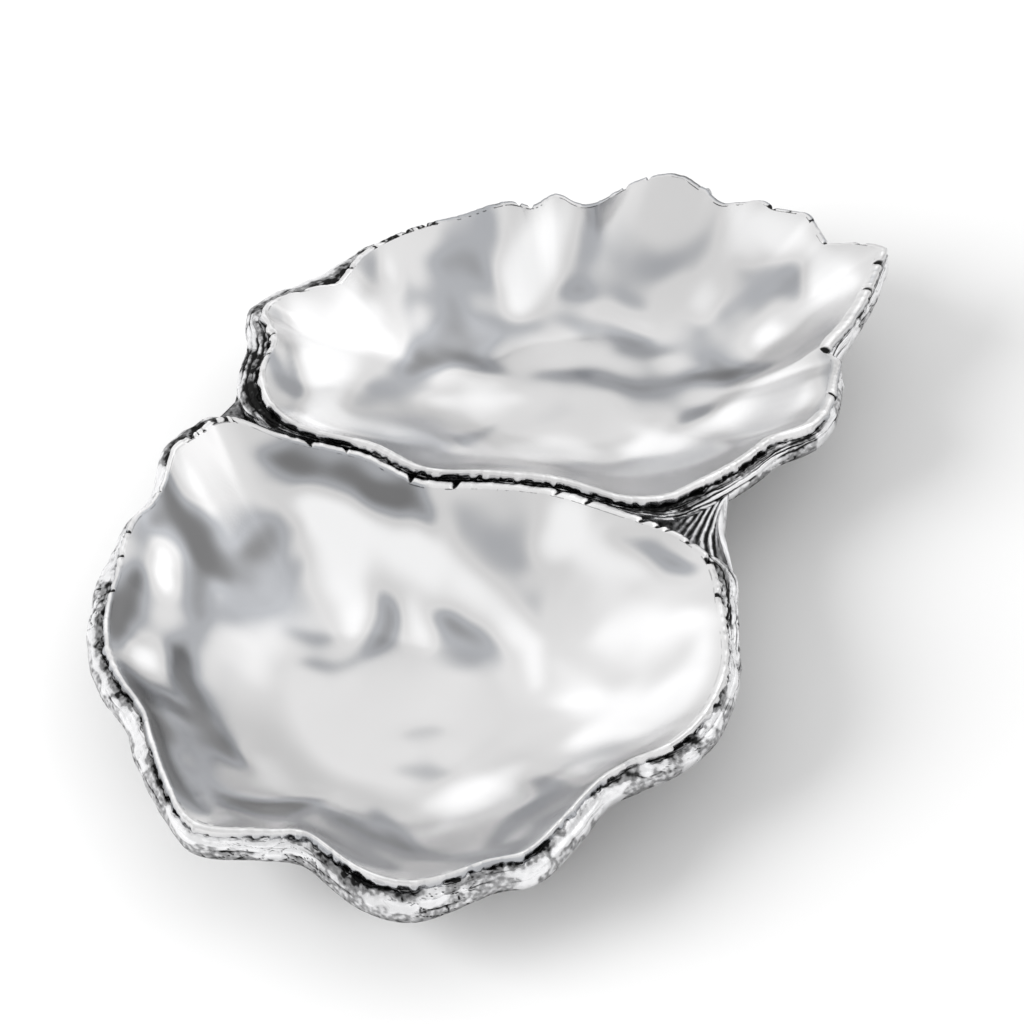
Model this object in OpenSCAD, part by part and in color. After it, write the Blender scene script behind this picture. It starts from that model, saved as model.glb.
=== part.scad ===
// Two-valve oyster dish: a polished bowl bonded into each of two rough cast shells,
// a cast web that ties the shells together along the hinge line, and four bumper feet.
// Millimetres, +Z up, X along the hinge line between the shells, +Y towards the rear shell.

/* [Front bowl] */
// Half width of the front bowl's plain oval, along the hinge line
front_half_w = 64; // [56:1:72]
// Half depth of the front bowl's plain oval, across the hinge line
front_half_d = 54; // [48:1:60]
// Distance of the front bowl's centre in front of the hinge line
front_setback = 50; // [46:1:54]
// Sideways offset of the front bowl's centre
front_shift = 2; // [-6:1:6]
// Mean height of the front bowl's lip above the table
front_rim_h = 25; // [22:0.5:30]

/* [Rear bowl] */
// Half width of the rear bowl's plain oval, along the hinge line
rear_half_w = 62; // [55:1:70]
// Half depth of the rear bowl's plain oval, across the hinge line
rear_half_d = 54; // [48:1:60]
// Distance of the rear bowl's centre behind the hinge line
rear_setback = 52; // [48:1:56]
// Sideways offset of the rear bowl's centre
rear_shift = 6; // [-2:1:10]
// Mean height of the rear bowl's lip above the table
rear_rim_h = 27; // [23:0.5:32]

/* [Walls] */
// Wall of each polished bowl
bowl_wall = 2; // [1.4:0.1:3]
// Width of the polished lip's flat
lip_w = 1.6; // [1.2:0.1:2.4]
// Depth of the polished lip's outer edge
lip_d = 2.2; // [1.6:0.1:3]
// Wall of each cast shell
shell_wall = 2.6; // [2:0.1:4]
// Thickness of the bond between pieces
bond_gap = 0.2; // [0.1:0.05:0.4]
// Depth of the cast shell's outer layer, from its top to its underside
layer_d = 5; // [3.5:0.5:7]
// Mean radius of the flat floor in each bowl
floor_r = 21; // [14:1:26]
// Power of the curve from the floor up to the lip
wall_power = 1.7; // [1.4:0.1:2.2]

/* [Hinge line] */
// Gap between the two polished lips along the hinge line
lip_gap = 2; // [1.4:0.1:3]
// Thickness of the web between the two shells at its thinnest
web_t = 2; // [1.2:0.1:3]
// Depth of the web's dished top below the shells' outer layers, where it is widest
web_dish = 3; // [0:0.5:4]
// Number of growth ridges across each end of the web
web_ridges = 4; // [2:1:6]
// Height of those growth ridges
ridge_h = 0.8; // [0:0.1:1.2]

/* [Feet] */
// Diameter of a bumper foot
foot_d = 12; // [8:1:16]
// Height of a bumper foot
foot_h = 2.5; // [1.5:0.1:4]
// Edge radius of a bumper foot
foot_round = 0.8; // [0.3:0.1:1.2]
// Distance between the two feet of one shell
foot_spread = 44; // [34:1:46]
// Depth ground off a shell's underside to leave a flat to stand on
base_flat = 0.8; // [0.5:0.1:1.2]

/* [Hidden] */

segments = 120;
blend_r = 7;
polished = [0.86, 0.87, 0.88];
cast = [0.55, 0.55, 0.56];
dark_cast = [0.3, 0.3, 0.31];
silicone = [0.75, 0.76, 0.77];

// Rim of each shell, round its centre: angle, how far the lip stands out from the plain oval,
// how far it rises above its mean height, and how far the cast outer layer stands out beyond it.
front_rim = [
    [4, 3, 0, 3], [16, 7, 1, 2.5], [28, 9, 1, 3.5], [38, 12.5, 0, 5], [48, 14, 0, 5],
    [62, 12, 0, 3], [90, 8, 0, 3], [118, 12, 0, 3], [132, 17, 0, 4], [139, 16.5, 1, 4],
    [145, 13.5, 1.5, 4], [150, 11.5, 2, 4], [156, 5, 1, 3.5], [161, 2.5, 0, 3], [166, 2, 0, 2.5],
    [172, -1, 0, 3], [180, -4, 0, 4], [193, -6.5, 0, 5], [207, -9, 0, 5.5],
    [218, -10.5, 0, 5], [228, -8, 0, 5], [240, -3.5, 0, 4], [252, 1.5, 0, 3],
    [263, -2.5, -1, 2], [274, -4.5, -1, 2], [288, 3, 0, 3], [297, 5, 0, 3],
    [312, 1.5, 0, 1.5], [319, 1.5, 0, 2], [330, -3, 0, 2], [342, -6.5, 0, 1.5],
    [350, -5, 0, 3], [356, -1, 0, 3]];
rear_rim = [
    [3, -1, 0, 2], [9, -1.5, -1, 2], [12.5, -4, -1, 3], [18, 0, 0, 2], [26, 6.5, 1, 2],
    [34, 13.5, 2.5, 2], [37.5, 15.5, 3, 2], [41, 8, 1, 2], [45.5, 7, 1, 2], [51.5, 8.5, 1.5, 2],
    [56, 5, 1, 2], [60, 4, 1.5, 2], [66, -2, 1, 2], [73, -1.5, 2, 2], [80, -1, 3, 2],
    [88, -4.5, 2, 2], [99, -14.5, 1, 2], [106, -16, 1, 2], [113, -14.5, 2, 2], [122, -17.5, 1, 2],
    [129, -15.5, 1, 2], [145, -16, 0, 2], [160, -13.5, 0, 2.5], [175, -10, 0, 4.5], [181, -9, -0.5, 7], [186, -7.5, -1, 10],
    [190, -2, 0, 9], [196, 7, 0, 4], [202, 6, 0, 5], [206, 6, 0, 6], [214, 11, 0, 5],
    [226, 13, -1, 4], [240, 13, -1, 3], [270, 8, -1, 3], [295, 5, -1, 3], [306, 1, -1, 2.5],
    [313, 0, -1, 2.5], [320, -1, 0, 2.5], [333, -3, 0, 2.5], [340, -3.5, 0, 2.5], [348, 0, 0, 2],
    [354, 0.5, 0, 2]];

// Hinge line between the shells: how far it wanders from straight, along X.
seam = [[-60, 2], [-40, 0], [-22, 0.5], [-8, -2.5], [6, 1.5], [20, 4.5], [38, 3.5], [60, 2]];

// Where the web's ends meet the front and the rear shell, as angles round their centres, and the
// share of the web's run that each ridged end takes up.
web_front_ends = [141, 36];
web_rear_ends = [208, 325];
web_end = 0.25;
web_steps = 70;

FRONT = 0;
REAR = 1;
centres = [[front_shift, -front_setback], [rear_shift, rear_setback]];
half_ws = [front_half_w, rear_half_w];
half_ds = [front_half_d, rear_half_d];
rims = [front_rim, rear_rim];
rim_hs = [front_rim_h, rear_rim_h];
// Which way the hinge line lies from a shell's centre
seam_sides = [1, -1];

// Heights that the walls stack up to
base_z = foot_h;
shell_in_z = base_z + shell_wall - base_flat;
floor_z = shell_in_z + bond_gap + bowl_wall;

// Levels of the cast outer layer below the lip's top
crevice_z = lip_d + bond_gap + 0.5;
layer_top = crevice_z + 0.1;
layer_crest = layer_top + 0.35 * layer_d;
layer_low = layer_top + layer_d;

// Smooth curves through hand-placed knots
function hermite(p, q, m, n, h, u) =
    (2*u*u*u - 3*u*u + 1) * p + (u*u*u - 2*u*u + u) * h * m
    + (3*u*u - 2*u*u*u) * q + (u*u*u - u*u) * h * n;
function ring_knot(k, i) =
    let(n = len(k), j = (i % n + n) % n) [k[j][0] + 360 * floor(i / n), k[j]];
function ring_slope(k, i, col) =
    let(a = ring_knot(k, i - 1), b = ring_knot(k, i + 1)) (b[1][col] - a[1][col]) / (b[0] - a[0]);
function ring_curve(k, angle, col) =
    let(a = angle - 360 * floor(angle / 360),
        i = len([for (e = k) if (e[0] <= a) 1]) - 1,
        p = ring_knot(k, i), q = ring_knot(k, i + 1), h = q[0] - p[0])
    hermite(p[1][col], q[1][col], ring_slope(k, i, col), ring_slope(k, i + 1, col), h, (a - p[0]) / h);
function line_slope(k, i) =
    i <= 0 || i >= len(k) - 1 ? 0 : (k[i + 1][1] - k[i - 1][1]) / (k[i + 1][0] - k[i - 1][0]);
function line_curve(k, x) =
    let(last = len(k) - 1, c = min(max(x, k[0][0]), k[last][0]),
        i = min(len([for (e = k) if (e[0] <= c) 1]) - 1, last - 1), h = k[i + 1][0] - k[i][0])
    hermite(k[i][1], k[i + 1][1], line_slope(k, i), line_slope(k, i + 1), h, (c - k[i][0]) / h);
function soft_min(a, b, k) = let(h = max(k - abs(a - b), 0) / k) min(a, b) - h * h * k / 4;

// How far a shell's outline reaches from its centre
function oval_r(s, a) = 1 / sqrt(pow(cos(a) / half_ws[s], 2) + pow(sin(a) / half_ds[s], 2));
function seam_reach(s, a, off, lo = 0, hi = 200, n = 24) =
    seam_sides[s] * sin(a) < 0.1 ? 500 :
    n == 0 ? lo :
    let(m = (lo + hi) / 2, x = centres[s].x + m * cos(a), y = centres[s].y + m * sin(a),
        inside = seam_sides[s] * (line_curve(seam, x) - y) > off)
    seam_reach(s, a, off, inside ? m : lo, inside ? hi : m, n - 1);
function lip_r(s, a) =
    soft_min(oval_r(s, a) + ring_curve(rims[s], a, 1), seam_reach(s, a, lip_gap / 2), blend_r);
function layer_r(s, a) =
    soft_min(oval_r(s, a) + ring_curve(rims[s], a, 1) + ring_curve(rims[s], a, 3),
             seam_reach(s, a, web_t / 2 + bond_gap), blend_r);
function lip_z(s, a) = rim_hs[s] + ring_curve(rims[s], a, 2);
function mean_r(s, a) = let(n = 8) [for (i = [-n : n]) lip_r(s, a + 3 * i)] * [for (i = [-n : n]) 1 / (2 * n + 1)];

// Middle of the whole outline, which becomes the origin
outline = [for (s = [FRONT, REAR]) for (i = [0 : segments - 1])
    let(a = 360 * i / segments, r = max(lip_r(s, a), layer_r(s, a))) centres[s] + r * [cos(a), sin(a)]];
xs = [for (p = outline) p.x];
ys = [for (p = outline) p.y];
middle = [(min(xs) + max(xs)) / 2, (min(ys) + max(ys)) / 2];

// Each shell's rim, worked out once: lip radius, its running mean, lip height, outer layer's radius
rim_tables = [for (s = [FRONT, REAR])
    [for (i = [0 : segments - 1]) let(a = 360 * i / segments)
        [lip_r(s, a), mean_r(s, a), lip_z(s, a), layer_r(s, a)]]];

// Soft hollows and swells in the polished bowls: x, y, radius, height
front_dents = [[-30, -35, 16, 0.7], [-5, -55, 15, -0.6], [25, -35, 18, 0.6], [10, -80, 14, 0.6], [40, -62, 13, -0.5]];
rear_dents = [[-25, 40, 16, 0.6], [5, 62, 16, -0.6], [30, 78, 14, 0.7], [42, 45, 15, -0.5], [0, 30, 14, 0.5]];
dents = [front_dents, rear_dents];
function dent(s, p) = [for (d = dents[s]) d[3] * exp(-pow(norm([p.x - d.x, p.y - d.y]) / d[2], 2))]
    * [for (d = dents[s]) 1];

// A bowl's section: shares of the radius where its rings lie, and its height there
shares = [0.2, 0.36, 0.48, 0.62, 0.77, 0.9];
function wall_rise(s, t) = let(f = 2 * floor_r / (half_ws[s] + half_ds[s]))
    t <= f ? 0 : pow((t - f) / (1 - f), wall_power);
function ring_r(s, i, t) = let(e = rim_tables[s][i], w = t * t) t * (e[1] * (1 - w) + e[0] * w - lip_w);
function bowl_z(s, i, t) = floor_z + (rim_tables[s][i][2] - floor_z) * wall_rise(s, t);
function at(s, i, r, z) = let(a = 360 * i / segments)
    [centres[s].x + r * cos(a) - middle.x, centres[s].y + r * sin(a) - middle.y, z];
function slant(t) = 1 + 0.35 * t * t;

// Rings of points, closed at a centre point above and below, as one solid. Past the widest ring
// the faces are split the other way, so that a bowl's underside matches the shell it lies in.
module ring_solid(top, rings, bottom, widest) {
    n = len(rings[0]);
    m = len(rings);
    points = concat([top], [for (r = rings) for (p = r) p], [bottom]);
    function id(k, i) = 1 + k * n + (i % n);
    last = len(points) - 1;
    faces = concat(
        [for (i = [0 : n - 1]) [0, id(0, i + 1), id(0, i)]],
        [for (k = [0 : m - 2]) for (i = [0 : n - 1]) each k < widest ?
            [[id(k, i), id(k, i + 1), id(k + 1, i + 1)], [id(k, i), id(k + 1, i + 1), id(k + 1, i)]] :
            [[id(k, i), id(k, i + 1), id(k + 1, i)], [id(k, i + 1), id(k + 1, i + 1), id(k + 1, i)]]],
        [for (i = [0 : n - 1]) [last, id(m - 1, i), id(m - 1, i + 1)]]);
    polyhedron(points, faces);
}

module bowl(s) {
    idx = [0 : segments - 1];
    function top_pt(i, t) = let(p = at(s, i, ring_r(s, i, t), bowl_z(s, i, t))) p + [0, 0, dent(s, p) * (1 - t)];
    function under_pt(i, t) = at(s, i, ring_r(s, i, t), bowl_z(s, i, t) - bowl_wall * slant(t));
    rings = concat(
        [for (t = shares) [for (i = idx) top_pt(i, t)]],
        [[for (i = idx) let(e = rim_tables[s][i]) at(s, i, e[0] - lip_w, e[2])],
         [for (i = idx) let(e = rim_tables[s][i]) at(s, i, e[0], e[2] - lip_d / 3)],
         [for (i = idx) let(e = rim_tables[s][i]) at(s, i, e[0], e[2] - lip_d)]],
        [for (k = [len(shares) - 1 : -1 : 0]) [for (i = idx) under_pt(i, shares[k])]]);
    c = centres[s] - middle;
    ring_solid([c.x, c.y, floor_z + dent(s, c)], rings, [c.x, c.y, floor_z - bowl_wall],
        len(shares) + 2);
}

// A point on the cast outer layer: how far in from its edge, and how far below the lip's top.
// Where it lies under the lip it is tucked lower, by the slope of the bowl's underside there.
tuck = 0.75;
function layer_pt(s, i, inset, drop) =
    let(e = rim_tables[s][i], r = e[3] - inset) at(s, i, r, e[2] - drop - tuck * max(0, e[0] - r));

module shell(s) {
    idx = [0 : segments - 1];
    function in_z(i, t) = bowl_z(s, i, t) - bowl_wall * slant(t) - bond_gap;
    function in_pt(i, t) = at(s, i, ring_r(s, i, t), in_z(i, t));
    function out_pt(i, t) = at(s, i, ring_r(s, i, t), max(base_z, in_z(i, t) - shell_wall * slant(t)));
    rings = concat(
        [for (t = shares) [for (i = idx) in_pt(i, t)]],
        [[for (i = idx) layer_pt(s, i, 2, layer_top + 0.6)],
         [for (i = idx) layer_pt(s, i, 1, layer_top)],
         [for (i = idx) layer_pt(s, i, 0, layer_crest)],
         [for (i = idx) layer_pt(s, i, 0.5, layer_low - 1)],
         [for (i = idx) layer_pt(s, i, 2.2, layer_low)]],
        [for (k = [len(shares) - 1 : -1 : 0]) [for (i = idx) out_pt(i, shares[k])]]);
    c = centres[s] - middle;
    ring_solid([c.x, c.y, shell_in_z], rings, [c.x, c.y, base_z], len(shares) + 2);
}

// The web between the shells, as sections from its left end to its right end. Its flanks keep
// the bond's thickness off the shells' outer layers and its top is dished and ridged at the ends.
function layer_at(s, u, inset, drop) =
    let(i = floor(u), f = u - i)
    layer_pt(s, i % segments, inset, drop) * (1 - f) + layer_pt(s, (i + 1) % segments, inset, drop) * f;
function web_u(ends, q) = (ends[0] + (ends[1] - ends[0]) * q) * segments / 360;
function web_section(q) =
    let(f = web_u(web_front_ends, q), r = web_u(web_rear_ends, q),
        e = min(1, min(q, 1 - q) / web_end),
        lift = ridge_h * (1 - e) * cos(360 * web_ridges * e) - web_dish * sin(180 * e),
        a = layer_at(FRONT, f, -bond_gap, layer_crest + bond_gap),
        b = layer_at(REAR, r, -bond_gap, layer_crest + bond_gap))
    concat(
        [for (v = [0, 0.25, 0.5, 0.75, 1]) a * (1 - v) + b * v + [0, 0, lift * 4 * v * (1 - v)]],
        [layer_at(REAR, r, 0.5 - bond_gap, layer_low - 1),
         layer_at(REAR, r, 2.2 - 2 * bond_gap, layer_low + bond_gap),
         layer_at(FRONT, f, 2.2 - 2 * bond_gap, layer_low + bond_gap),
         layer_at(FRONT, f, 0.5 - bond_gap, layer_low - 1)]);

module web() {
    sections = [for (k = [0 : web_steps]) web_section(k / web_steps)];
    n = len(sections[0]);
    points = [for (e = sections) each e];
    function id(k, j) = k * n + (j % n);
    faces = concat(
        [for (j = [0 : n - 3]) [id(0, n - 1), id(0, j + 1), id(0, j)]],
        [for (k = [0 : web_steps - 1]) for (j = [0 : n - 1]) each j < 4 ?
            [[id(k, j), id(k, j + 1), id(k + 1, j + 1)], [id(k, j), id(k + 1, j + 1), id(k + 1, j)]] :
            [[id(k, j), id(k, j + 1), id(k + 1, j)], [id(k, j + 1), id(k + 1, j + 1), id(k + 1, j)]]],
        [for (j = [0 : n - 3]) [id(web_steps, n - 1), id(web_steps, j), id(web_steps, j + 1)]]);
    polyhedron(points, faces);
}

module foot(s, side) {
    c = centres[s] - middle;
    translate([c.x + side * foot_spread / 2, c.y, 0])
        rotate_extrude() {
            translate([0, foot_round]) square([foot_d / 2, foot_h - foot_round]);
            square([foot_d / 2 - foot_round, foot_h]);
            translate([foot_d / 2 - foot_round, foot_round]) circle(foot_round, $fn = 32);
        }
}

module front_bowl() { color(polished) bowl(FRONT); }
module rear_bowl() { color(polished) bowl(REAR); }
module front_shell() { color(cast) shell(FRONT); }
module rear_shell() { color(cast) shell(REAR); }
module bridge_web() { color(dark_cast) web(); }
module front_left_foot() { color(silicone) foot(FRONT, -1); }
module front_right_foot() { color(silicone) foot(FRONT, 1); }
module rear_left_foot() { color(silicone) foot(REAR, -1); }
module rear_right_foot() { color(silicone) foot(REAR, 1); }

front_bowl();
rear_bowl();
front_shell();
rear_shell();
bridge_web();
front_left_foot();
front_right_foot();
rear_left_foot();
rear_right_foot();
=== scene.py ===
import math

import bmesh
import bpy
import numpy as np
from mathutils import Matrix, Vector, noise


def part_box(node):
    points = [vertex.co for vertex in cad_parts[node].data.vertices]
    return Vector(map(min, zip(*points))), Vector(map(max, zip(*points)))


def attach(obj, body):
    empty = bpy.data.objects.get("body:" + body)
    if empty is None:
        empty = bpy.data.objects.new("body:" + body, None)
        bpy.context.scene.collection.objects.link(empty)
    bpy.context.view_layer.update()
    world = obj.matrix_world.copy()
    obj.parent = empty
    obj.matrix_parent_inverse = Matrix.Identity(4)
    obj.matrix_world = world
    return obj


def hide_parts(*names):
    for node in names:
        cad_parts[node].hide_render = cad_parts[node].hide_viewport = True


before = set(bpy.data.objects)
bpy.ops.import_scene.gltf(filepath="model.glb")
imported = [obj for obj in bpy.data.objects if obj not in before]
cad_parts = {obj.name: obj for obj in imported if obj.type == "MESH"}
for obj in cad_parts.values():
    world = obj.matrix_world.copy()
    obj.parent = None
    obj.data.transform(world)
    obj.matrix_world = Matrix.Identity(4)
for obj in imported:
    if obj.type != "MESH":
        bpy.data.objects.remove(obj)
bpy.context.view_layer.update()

# The camera stands in front of the dish and a little to its right, well above the table,
# with a long lens, so that the near bowl is hardly larger than the far one.
AIM = Vector((0.0063, 0.0044, 0.015))
CAMERA_AZIMUTH, CAMERA_ELEVATION, CAMERA_DISTANCE = math.radians(20), math.radians(47), 0.7
LENS, SENSOR = 114.4, 36

towards_camera = Vector((math.sin(CAMERA_AZIMUTH) * math.cos(CAMERA_ELEVATION),
                         -math.cos(CAMERA_AZIMUTH) * math.cos(CAMERA_ELEVATION),
                         math.sin(CAMERA_ELEVATION)))
camera_data = bpy.data.cameras.new("camera")
camera_data.lens, camera_data.sensor_width = LENS, SENSOR
camera = bpy.data.objects.new("camera", camera_data)
camera.location = AIM + towards_camera * CAMERA_DISTANCE
camera.rotation_euler = towards_camera.to_track_quat("Z", "Y").to_euler()
bpy.context.scene.collection.objects.link(camera)
bpy.context.scene.camera = camera

# The polished bowls are the insides of the two oyster shells: thin cast aluminium, sanded and
# buffed to a satin that still shows the soft hollows of the pattern. The light and dark clouds
# on the satin are painted reflections in the metal's colour, laid along the flanks of low waves.
# Each has a rounded lip, nicked where the casting broke away, and is bonded into its rough outer
# shell.
RIM_STEPS, CALM_SPAN = 120, 8
BOWL_TURNS, BOWL_RINGS, LIP_RINGS = 960, 72, 19
FLOOR_Z, BOWL_WALL, LIP_W, FLOOR_R = 6.5, 2.0, 1.6, 21.0
WALL_POWER, WALL_SWELL = 1.7, 0.35
HALVES = {"front": (64.0, 54.0), "rear": (62.0, 54.0)}
# Waves: slopes where they rise and fall, greatest height, and how far they are softened
RISE, FALL, LIMIT, SOFT = 0.22, 0.36, 1.5, 1.25
# Way that the waves face on their grid, how stiff they are aside, and how soon they level out
LEAN, STIFF, SLACK = (-0.6, -0.8), 0.15, 0.06
WAVE_REACH, WAVE_TURN = 90, math.radians(20)
WAVE_COS, WAVE_SIN = math.cos(WAVE_TURN), math.sin(WAVE_TURN)


def shell_centre(half):
    """Middle between a shell's two feet, in millimetres."""
    corners = [c for side in ("left", "right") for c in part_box(f"{half}_{side}_foot")]
    return np.array([sum(c.x for c in corners), sum(c.y for c in corners)]) * 250


def curve(f, a, b, c, d):
    """Smooth curve through four values in a row, read at a share of the way from b to c."""
    return b + 0.5 * f * (c - a + f * (2 * a - 5 * b + 4 * c - d + f * (3 * (b - c) + d - a)))


def around(values, turns):
    """A closed smooth curve through values that lie at equal angles, read at more angles."""
    values = np.asarray(values, float)
    n = len(values)
    u = np.arange(turns) * n / turns
    i = u.astype(int)
    return curve(u - i, *(values[(i + k) % n] for k in (-1, 0, 1, 2)))


def calmed(values, turns):
    """The same without its scallops: each value is the mean of those about it."""
    span = range(-CALM_SPAN, CALM_SPAN + 1)
    means = [np.mean([values[(i + k) % RIM_STEPS] for k in span]) for i in range(RIM_STEPS)]
    return around(means, turns)


def between(rows, count):
    """Rings laid smoothly through a few key rings, the first and last included."""
    rows = np.asarray(rows, float)
    last = len(rows) - 1
    u = np.linspace(0, last, count)
    i = np.minimum(u.astype(int), last - 1)
    f = (u - i).reshape((-1,) + (1,) * (rows.ndim - 1))
    return curve(f, *(rows[np.clip(i + k, 0, last)] for k in (-1, 0, 1, 2)))


def by_direction(table, angles):
    """A table of directions and amounts, read at angles in degrees."""
    return np.interp(angles, *zip(*table), period=360)


def rim_of(node, centre):
    """How far a solid reaches, and how high it stands, in each direction from a centre."""
    points = np.array([v.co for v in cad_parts[node].data.vertices]) * 1000
    away = points[:, :2] - centre
    turn = np.degrees(np.arctan2(away[:, 1], away[:, 0]))
    step = np.round(turn / (360 / RIM_STEPS)).astype(int) % RIM_STEPS
    reach, height = np.zeros(RIM_STEPS), np.zeros(RIM_STEPS)
    np.maximum.at(reach, step, np.hypot(away[:, 0], away[:, 1]))
    np.maximum.at(height, step, points[:, 2])
    return reach, height


def rings_round(centre, turns):
    """Equal angles round a centre, and a function for a ring there of given radii and heights."""
    angles = np.arange(turns) * 360 / turns
    cosines, sines = np.cos(np.radians(angles)), np.sin(np.radians(angles))

    def ring(r, z):
        return np.stack([centre[0] + r * cosines, centre[1] + r * sines, z + 0 * r], axis=-1)

    return angles, ring


def wall_rise(half, t):
    """Share of the lip's height that the bowl's inside has reached at a share of its radius."""
    flat = 2 * FLOOR_R / sum(HALVES[half])
    return np.clip((t - flat) / (1 - flat), 0, None) ** WALL_POWER


def wall_ring(half, ring, t, calm, lip, height, drop):
    """Ring at a share of the wall's radius and a depth below the bowl's inside."""
    return ring(t * (calm * (1 - t * t) + lip * t * t - LIP_W),
                FLOOR_Z + (height - FLOOR_Z) * wall_rise(half, t)
                - drop * (1 + WALL_SWELL * t * t))


def grain(places, size, shift=0.0, basis="PERLIN_ORIGINAL"):
    """Smooth noise at places in millimetres, with features of about the given size."""
    spots = (places.reshape(-1, 3) / size + shift).tolist()
    values = np.array([noise.noise(p, noise_basis=basis) for p in spots])
    return values.reshape(places.shape[:-1])


def wrapped_grid(name, places, **tones):
    """A flat grid wrapped round: each row becomes a ring, and rings of one point are closed."""
    rings, turns = places.shape[:2]
    spots = (places * 0.001).tolist()
    bm = bmesh.new()
    bmesh.ops.create_grid(bm, x_segments=turns, y_segments=rings - 1, size=1)
    layers = [(bm.verts.layers.float.new(key), values.tolist()) for key, values in tones.items()]
    for v in bm.verts:
        i = round((v.co.x + 1) / 2 * turns) % turns
        k = round((v.co.y + 1) / 2 * (rings - 1))
        v.co = spots[k][i]
        for layer, values in layers:
            v[layer] = values[k][i]
    bmesh.ops.remove_doubles(bm, verts=bm.verts, dist=1e-7)
    bmesh.ops.recalc_face_normals(bm, faces=bm.faces)
    for f in bm.faces:
        f.smooth = True
    mesh = bpy.data.meshes.new(name)
    bm.to_mesh(mesh)
    bm.free()
    piece = bpy.data.objects.new(name, mesh)
    bpy.context.scene.collection.objects.link(piece)
    return piece


def flanks(spots, strokes):
    """How steep the flanks of the waves are: 1 rises to the far right, -1 falls. A stroke
    wanders a little, tapers to both ends and is wider on its right."""
    flat = np.dstack([spots, 0 * spots[..., :1]])
    drift = [1.8 * grain(flat, 18.0, k) + 0.6 * grain(flat, 6.0, k) for k in (61.0, 67.0)]
    spots = spots + np.stack(drift, axis=-1)
    uneven = 1 + 0.5 * grain(flat, 9.0, 73.0)
    total = np.zeros(spots.shape[:-1])
    for strength, wide, path in strokes:
        path = np.array(path, float)
        length = np.concatenate([[0], np.cumsum(np.linalg.norm(np.diff(path, axis=0), axis=1))])
        near, share, side = (np.full(spots.shape[:-1], start) for start in (np.inf, 0.0, 1.0))
        for i, (a, b) in enumerate(zip(path[:-1], path[1:])):
            along = np.clip((spots - a) @ (b - a) / max((b - a) @ (b - a), 1e-9), 0, 1)
            gap = np.linalg.norm(spots - a - along[..., None] * (b - a), axis=-1)
            left = (b - a)[0] * (spots - a)[..., 1] > (b - a)[1] * (spots - a)[..., 0]
            passed = (length[i] + along * (length[i + 1] - length[i])) / length[-1]
            share = np.where(gap < near, passed, share)
            side = np.where(gap < near, np.where(left, 0.75, 1.3), side)
            near = np.minimum(near, gap)
        reach = wide * side * uneven * (0.4 + 0.75 * np.sin(np.pi * share))
        total += strength * np.exp(-(near / reach) ** 1.5)
    return np.tanh(1.2 * total) / np.tanh(1.2)


def waves(strokes, centre):
    """Height of the waves whose flanks are the strokes, and those flanks, on a grid of 1 mm."""
    steps = np.arange(-WAVE_REACH, WAVE_REACH + 1)
    across, along = np.meshgrid(steps, steps)
    spots = np.stack([centre[0] + across * WAVE_COS - along * WAVE_SIN,
                      centre[1] + across * WAVE_SIN + along * WAVE_COS], axis=-1).astype(float)
    turn = 2 * np.pi * np.fft.fftfreq(len(steps))
    ku, kv = np.meshgrid(turn, turn)
    softly = np.exp(-(ku ** 2 + kv ** 2) * SOFT ** 2 / 2)
    steep = np.real(np.fft.ifft2(np.fft.fft2(flanks(spots, strokes)) * softly))
    slope = np.where(steep > 0, RISE, FALL) * steep
    facing, aside = -LEAN[0] * ku - LEAN[1] * kv, LEAN[1] * ku - LEAN[0] * kv
    hold = facing ** 2 + STIFF * aside ** 2 + SLACK ** 2
    height = np.real(np.fft.ifft2(-1j * facing * np.fft.fft2(slope - slope.mean()) / hold))
    return LIMIT * np.tanh(height / LIMIT), steep


def read_grid(grid, places, centre):
    """A grid of waves() read at places, evenly between its points."""
    dx, dy = places[..., 0] - centre[0], places[..., 1] - centre[1]
    furthest = 2 * WAVE_REACH - 0.01
    u = np.clip(dx * WAVE_COS + dy * WAVE_SIN + WAVE_REACH, 0, furthest)
    v = np.clip(dy * WAVE_COS - dx * WAVE_SIN + WAVE_REACH, 0, furthest)
    i, k = v.astype(int), u.astype(int)
    f, g = v - i, u - k
    return ((grid[i, k] * (1 - g) + grid[i, k + 1] * g) * (1 - f)
            + (grid[i + 1, k] * (1 - g) + grid[i + 1, k + 1] * g) * f)


def nicks(angles, reach, list_of_nicks):
    """Depth of the V-shaped nicks in a lip: direction, half width, depth."""
    depth = np.zeros(len(angles))
    for at, wide, deep in list_of_nicks:
        gap = np.abs((angles - at + 180) % 360 - 180)
        depth = np.maximum(depth, deep * np.clip(1 - np.radians(gap) * reach / wide, 0, 1))
    return depth
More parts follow.
